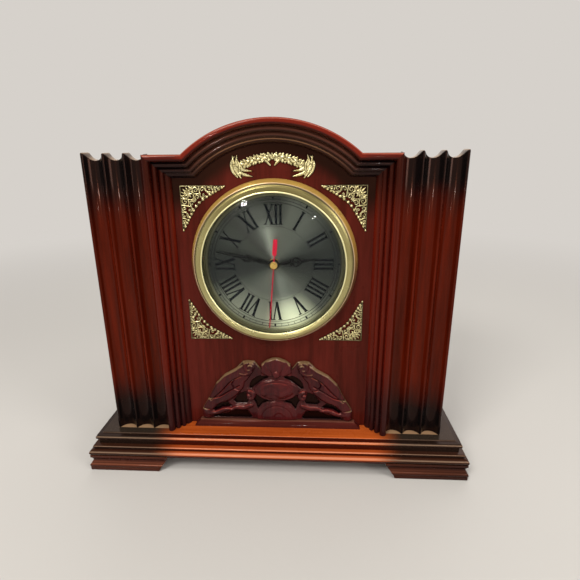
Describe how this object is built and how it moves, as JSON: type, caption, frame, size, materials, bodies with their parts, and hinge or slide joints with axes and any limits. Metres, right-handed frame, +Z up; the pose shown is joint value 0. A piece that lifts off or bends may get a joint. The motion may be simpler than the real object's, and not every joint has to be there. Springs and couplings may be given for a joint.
{
  "type": "mantel clock",
  "caption": "Arched wooden mantel clock with fluted pilasters, a pierced carved apron, brass corner trim, a domed round dial, a hinged back door and a battery movement.",
  "frame": {"origin": "middle of the footprint, in the plane of the feet's soles", "axes": "+X to the right as the dial is read, +Z up, and the dial faces -Y"},
  "size_m": [0.3454, 0.1306, 0.306],
  "materials": {
    "panel_wood": "glossy lacquered rosewood veneer, red-brown",
    "case_wood": "glossy lacquered rosewood, dark red",
    "back_wood": "plain stained board",
    "pilaster_wood": "glossy lacquered rosewood, shaded black towards the ends",
    "moulding_wood": "glossy lacquered rosewood, dark red",
    "base_wood": "glossy lacquered rosewood, shaded black towards the ends",
    "carving_wood": "carved rosewood, satin lacquer",
    "trim_brass": "pale polished brass",
    "bezel_brass": "satin and polished gilt brass",
    "fitting_brass": "polished brass",
    "steel": "bright zinc-plated steel",
    "magnet_plastic": "black, with a magnet inside",
    "pan_metal": "pressed sheet, plain",
    "dial_metal": "sunburst brushed, clear lacquered",
    "dial_ink": "black printing",
    "spacer_plastic": "dark grey",
    "lens_glass": "clear domed glass",
    "hand_black": "black enamel",
    "hand_red": "red enamel",
    "movement_plastic": "moulded black",
    "gear_plastic": "moulded natural white",
    "rotor_plastic": "plastic-bonded magnet, dark grey",
    "battery_wrap": "printed sleeve over a steel can, plain",
    "board_laminate": "green laminate",
    "coil_copper": "enamelled copper wire",
    "stator_steel": "soft magnetic steel"
  },
  "bodies": {
    "case": {"front_board": "panel_wood", "left_side_panel": "case_wood", "right_side_panel": "case_wood", "roof": "case_wood", "back_panel": "back_wood", "left_pilaster": "pilaster_wood", "right_pilaster": "pilaster_wood", "left_frame_moulding": "moulding_wood", "right_frame_moulding": "moulding_wood", "head_moulding": "moulding_wood", "base_board": "base_wood", "plinth": "base_wood", "front_left_foot": "base_wood", "front_right_foot": "base_wood", "rear_left_foot": "base_wood", "rear_right_foot": "base_wood", "apron_rail": "carving_wood", "apron_carving": "carving_wood", "top_left_spandrel": "trim_brass", "top_right_spandrel": "trim_brass", "bottom_left_spandrel": "trim_brass", "bottom_right_spandrel": "trim_brass", "garland": "trim_brass", "base_screws": "steel", "case_hinge_leaves": "fitting_brass", "hinge_pins": "fitting_brass", "catch_magnet": "magnet_plastic", "dial_pan": "pan_metal", "insert_clips": "steel", "dial_plate": "dial_metal", "dial_markings": "dial_ink", "spacer_ring": "spacer_plastic", "glass": "lens_glass", "bezel_ring": "bezel_brass", "bezel_flange": "bezel_brass", "mounting_nut": "fitting_brass", "movement_front_case": "movement_plastic", "movement_back_case": "movement_plastic", "battery": "battery_wrap", "battery_contacts": "steel", "circuit_board": "board_laminate", "coil": "coil_copper", "stator": "stator_steel"},
    "door": {"back_door": "back_wood", "door_hinge_leaves": "fitting_brass", "door_knob": "fitting_brass", "strike_plate": "steel"},
    "second": {"second_hand": "hand_red", "hub_cap": "fitting_brass", "second_wheel": "gear_plastic"},
    "rotor": {"rotor": "rotor_plastic"},
    "intermediate": {"intermediate_wheel": "gear_plastic"},
    "third": {"third_wheel": "gear_plastic"},
    "centre": {"centre_wheel": "gear_plastic"},
    "minute": {"minute_hand": "hand_black", "minute_arbor": "fitting_brass"},
    "setting": {"setting_wheel": "gear_plastic", "setting_knob": "movement_plastic"},
    "hour": {"hour_hand": "hand_black", "hour_wheel": "gear_plastic"}
  },
  "joints": [
    {"name": "door_hinge", "type": "hinge", "parent": "case", "child": "door", "pos_m": [0.0805, 0.0485, 0.165], "axis": [0, 0, -1], "range_deg": [0, 110]},
    {"name": "second_spin", "type": "hinge", "parent": "case", "child": "second", "pos_m": [0, -0.026, 0.1908], "axis": [0, 1, 0], "continuous": true},
    {"name": "rotor_spin", "type": "hinge", "parent": "case", "child": "rotor", "pos_m": [0.00779, -0.026, 0.20615], "axis": [0, 1, 0], "continuous": true},
    {"name": "intermediate_spin", "type": "hinge", "parent": "case", "child": "intermediate", "pos_m": [0, -0.026, 0.20165], "axis": [0, 1, 0], "continuous": true},
    {"name": "third_spin", "type": "hinge", "parent": "case", "child": "third", "pos_m": [0.01076, -0.026, 0.19174], "axis": [0, 1, 0], "continuous": true},
    {"name": "centre_spin", "type": "hinge", "parent": "case", "child": "centre", "pos_m": [0, -0.026, 0.1908], "axis": [0, 1, 0], "continuous": true},
    {"name": "minute_spin", "type": "hinge", "parent": "case", "child": "minute", "pos_m": [0, -0.026, 0.1908], "axis": [0, 1, 0], "continuous": true},
    {"name": "setting_spin", "type": "hinge", "parent": "case", "child": "setting", "pos_m": [-0.01096, -0.026, 0.19176], "axis": [0, 1, 0], "continuous": true},
    {"name": "hour_spin", "type": "hinge", "parent": "case", "child": "hour", "pos_m": [0, -0.026, 0.1908], "axis": [0, 1, 0], "continuous": true}
  ],
  "couplings": [
    {"joint": "rotor_spin", "follows": "second_spin", "ratio": 30},
    {"joint": "intermediate_spin", "follows": "second_spin", "ratio": -6},
    {"joint": "third_spin", "follows": "second_spin", "ratio": -0.13333},
    {"joint": "centre_spin", "follows": "second_spin", "ratio": 0.016667},
    {"joint": "setting_spin", "follows": "minute_spin", "ratio": -0.33333},
    {"joint": "hour_spin", "follows": "minute_spin", "ratio": 0.083333}
  ]
}
